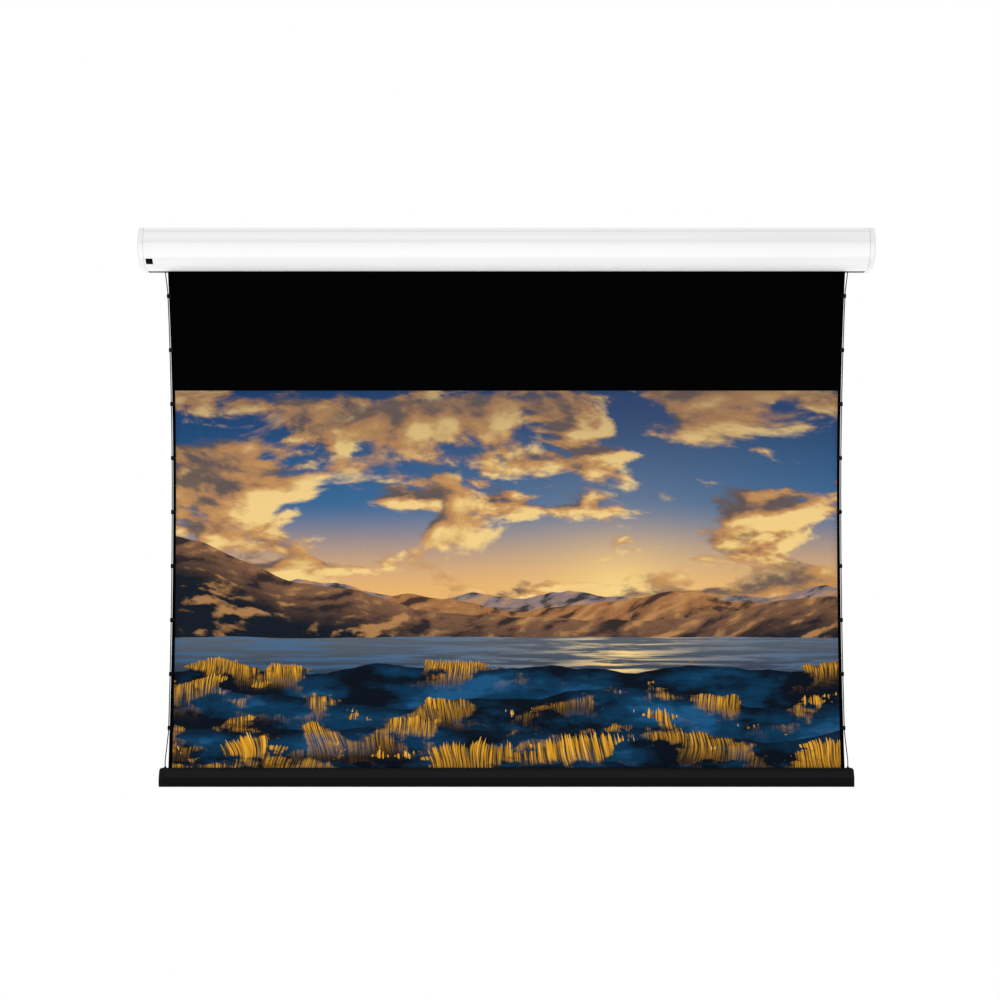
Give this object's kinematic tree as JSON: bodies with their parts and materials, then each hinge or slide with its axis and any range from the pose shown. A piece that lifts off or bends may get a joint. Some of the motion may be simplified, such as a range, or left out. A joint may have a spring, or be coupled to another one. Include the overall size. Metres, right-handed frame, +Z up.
{
  "type": "tab-tensioned electric projector screen",
  "caption": "Wall-hung roll-down projector screen with a rounded white case, black-edged cloth kept flat by side tabs and cords, and a weight bar.",
  "frame": {"origin": "on the wall plane, at the middle of the case's length and at the height of the case's top", "axes": "+X along the case to the viewer's right, +Y into the wall, +Z up; the picture faces -Y"},
  "size_m": [2.434, 0.148, 1.857],
  "materials": {
    "case_white": "satin powder coat",
    "cap_white": "satin",
    "bar_black": "satin powder coat",
    "plastic_black": "matte",
    "cloth_black": "matte coated",
    "picture_cloth": "matte white projection coat",
    "cord_grey": "braided",
    "tube_metal": "mill finish",
    "zinc_steel": "zinc plated",
    "motor_paint": "satin",
    "window_dark": "gloss, infra-red window",
    "grommet_rubber": "matte"
  },
  "bodies": {
    "case": {"case_shell": "case_white", "front_cover": "case_white", "end_cap_left": "cap_white", "end_cap_right": "cap_white", "end_screw_left_1": "zinc_steel", "end_screw_left_2": "zinc_steel", "end_screw_left_3": "zinc_steel", "end_screw_right_1": "zinc_steel", "end_screw_right_2": "zinc_steel", "end_screw_right_3": "zinc_steel", "receiver_window": "window_dark", "receiver_module": "plastic_black", "cable_grommet": "grommet_rubber", "wall_bracket_left": "zinc_steel", "wall_bracket_right": "zinc_steel", "lock_screw_left": "zinc_steel", "lock_screw_right": "zinc_steel", "motor_bracket": "zinc_steel", "motor_body": "motor_paint", "idler_bracket": "zinc_steel", "idler_pin": "zinc_steel", "black_drop": "cloth_black", "viewing_surface": "picture_cloth", "border_left": "cloth_black", "border_right": "cloth_black", "tab_left_1": "plastic_black", "tab_left_2": "plastic_black", "tab_left_3": "plastic_black", "tab_left_4": "plastic_black", "tab_left_5": "plastic_black", "tab_left_6": "plastic_black", "tab_left_7": "plastic_black", "tab_left_8": "plastic_black", "tab_left_9": "plastic_black", "tab_right_1": "plastic_black", "tab_right_2": "plastic_black", "tab_right_3": "plastic_black", "tab_right_4": "plastic_black", "tab_right_5": "plastic_black", "tab_right_6": "plastic_black", "tab_right_7": "plastic_black", "tab_right_8": "plastic_black", "tab_right_9": "plastic_black", "cord_left": "cord_grey", "cord_right": "cord_grey"},
    "roller": {"roller_tube": "tube_metal", "screen_wrap": "cloth_black", "motor_crown": "plastic_black", "motor_drive_wheel": "plastic_black", "idler_plug": "plastic_black", "idler_bearing": "zinc_steel"},
    "bar": {"weight_bar": "bar_black", "bar_cap_left": "plastic_black", "bar_cap_right": "plastic_black", "hem_spline": "plastic_black", "cord_anchor_left": "plastic_black", "cord_anchor_right": "plastic_black"}
  },
  "joints": [
    {"name": "roller_spin", "type": "hinge", "parent": "case", "child": "roller", "pos_m": [0, -0.08, -0.057], "axis": [1, 0, 0], "range_deg": [0, 2569.8]},
    {"name": "bar_lift", "type": "slide", "parent": "case", "child": "bar", "axis": [0, 0, 1], "range_m": [0, 1.682], "deforming": ["black_drop", "viewing_surface", "border_left", "border_right", "tab_left_1", "tab_left_2", "tab_left_3", "tab_left_4", "tab_left_5", "tab_left_6", "tab_left_7", "tab_left_8", "tab_left_9", "tab_right_1", "tab_right_2", "tab_right_3", "tab_right_4", "tab_right_5", "tab_right_6", "tab_right_7", "tab_right_8", "tab_right_9", "cord_left", "cord_right"]}
  ],
  "couplings": [
    {"joint": "bar_lift", "follows": "roller_spin", "m_per_rad": 0.0375}
  ]
}
